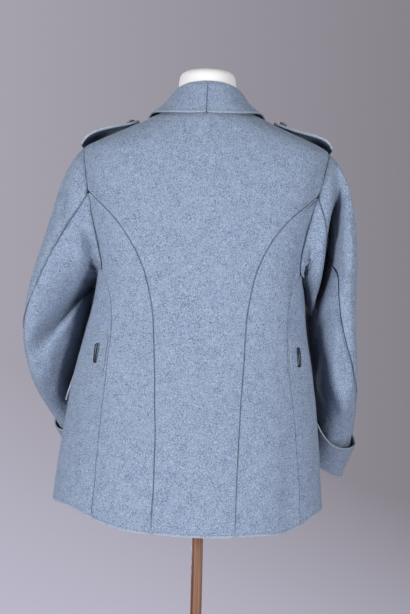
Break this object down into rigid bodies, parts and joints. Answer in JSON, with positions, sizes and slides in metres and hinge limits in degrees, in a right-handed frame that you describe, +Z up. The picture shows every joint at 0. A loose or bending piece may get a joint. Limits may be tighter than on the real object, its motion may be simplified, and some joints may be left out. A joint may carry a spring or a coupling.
{
  "type": "military tunic on a dress form and stand",
  "caption": "Hip-length wool military tunic with a turn-down collar, shoulder straps and turned-back cuffs, worn by a limbless dress form on a pole stand.",
  "frame": {"origin": "on the floor, at the centre of the underside of the stand's base", "axes": "+Z up along the pole; -Y to the tunic's front; +X to the wearer's left"},
  "size_m": [0.6112, 0.4839, 1.56],
  "materials": {
    "wool": "thick fulled wool, blue-grey with white and dark fibres, soft nap",
    "black_wire": "black japanned wire",
    "grey_metal": "dull grey-blue painted metal",
    "white_cover": "smooth matt white cover",
    "varnished_wood": "varnished red-brown wood"
  },
  "bodies": {
    "root": {"back_panel": "wool", "belt_hook_left": "black_wire", "belt_hook_right": "black_wire", "collar_left": "wool", "collar_right": "wool", "cuff_left": "wool", "cuff_right": "wool", "dress_form": "white_cover", "front_button_1": "grey_metal", "front_button_2": "grey_metal", "front_button_3": "grey_metal", "front_button_4": "grey_metal", "front_button_5": "grey_metal", "front_button_6": "grey_metal", "front_left": "wool", "front_right": "wool", "hip_pocket_left": "wool", "hip_pocket_right": "wool", "hook_patch_left": "wool", "hook_patch_right": "wool", "pocket_flap_left": "wool", "pocket_flap_right": "wool", "shoulder_strap_left": "wool", "shoulder_strap_right": "wool", "side_body_left": "wool", "side_body_right": "wool", "sleeve_under_left": "wool", "sleeve_under_right": "wool", "sleeve_upper_left": "wool", "sleeve_upper_right": "wool", "stand_base": "varnished_wood", "stand_pole": "varnished_wood", "strap_button_left": "grey_metal", "strap_button_right": "grey_metal"}
  },
  "joints": []
}
